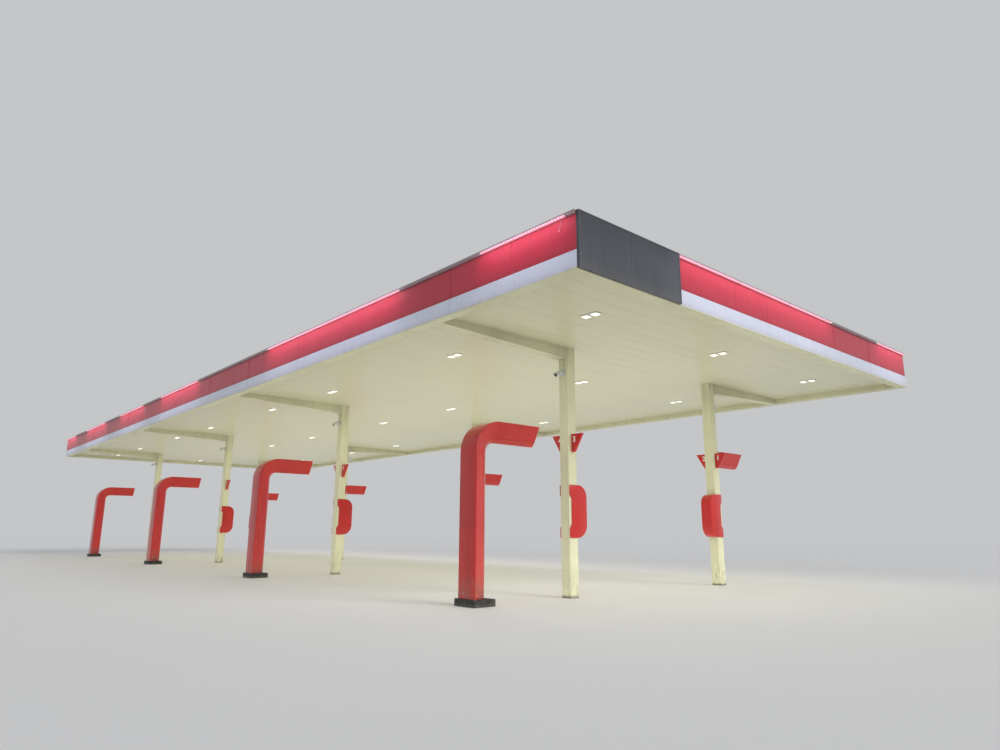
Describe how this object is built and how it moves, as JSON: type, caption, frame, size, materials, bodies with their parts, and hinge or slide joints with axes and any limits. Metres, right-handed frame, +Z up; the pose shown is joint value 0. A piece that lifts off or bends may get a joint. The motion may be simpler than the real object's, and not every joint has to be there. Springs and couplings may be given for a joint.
{
  "type": "filling station canopy",
  "caption": "Flat-roofed filling station canopy on steel box columns, with red and white lit fascia, panned soffit, cantilever beam arms and red island arches.",
  "frame": {"origin": "middle of the roof's footprint at paving level", "axes": "+X across the roof to the east, +Y along the roof to the north, +Z up; the sign panel is at the south-west corner"},
  "size_m": [12.92, 36.696, 5.967],
  "materials": {
    "column_paint": "satin off-white paint",
    "beam_paint": "satin off-white paint",
    "deck_paint": "satin baked white on roll-formed pans",
    "purlin_steel": "grey primer",
    "gutter_paint": "satin off-white paint",
    "frame_steel": "galvanised",
    "fascia_red": "satin red coated aluminium sheet",
    "fascia_white": "satin cool white coated aluminium sheet",
    "light_bar": "frosted lens",
    "sign_grey": "satin charcoal grey",
    "lamp_body": "satin white",
    "lamp_lens": "clear prismatic lens",
    "arch_red": "gloss red",
    "plinth_black": "satin black",
    "camera_white": "satin light grey"
  },
  "bodies": {
    "root": {"column_a1": "column_paint", "column_a2": "column_paint", "column_a3": "column_paint", "column_a4": "column_paint", "column_b1": "column_paint", "column_b2": "column_paint", "column_b3": "column_paint", "column_b4": "column_paint", "cross_beam_1": "beam_paint", "cross_beam_2": "beam_paint", "cross_beam_3": "beam_paint", "cross_beam_4": "beam_paint", "deck_1": "deck_paint", "deck_2": "deck_paint", "deck_3": "deck_paint", "deck_4": "deck_paint", "deck_5": "deck_paint", "purlins": "purlin_steel", "gutters": "gutter_paint", "end_trims": "gutter_paint", "fascia_frame_west": "frame_steel", "fascia_frame_east": "frame_steel", "fascia_frame_ends": "frame_steel", "fascia_braces": "frame_steel", "fascia_red_west": "fascia_red", "fascia_red_east": "fascia_red", "fascia_red_south": "fascia_red", "fascia_red_north": "fascia_red", "fascia_white_west": "fascia_white", "fascia_white_east": "fascia_white", "fascia_white_south": "fascia_white", "fascia_white_north": "fascia_white", "light_bar_west": "light_bar", "light_bar_east": "light_bar", "light_bar_south": "light_bar", "light_bar_north": "light_bar", "sign_panel": "sign_grey", "lamp_housings": "lamp_body", "lamp_lenses": "lamp_lens", "arches": "arch_red", "arch_plinths": "plinth_black", "blade_arms": "arch_red", "number_flags": "arch_red", "service_units": "arch_red", "cameras": "camera_white"}
  },
  "joints": []
}
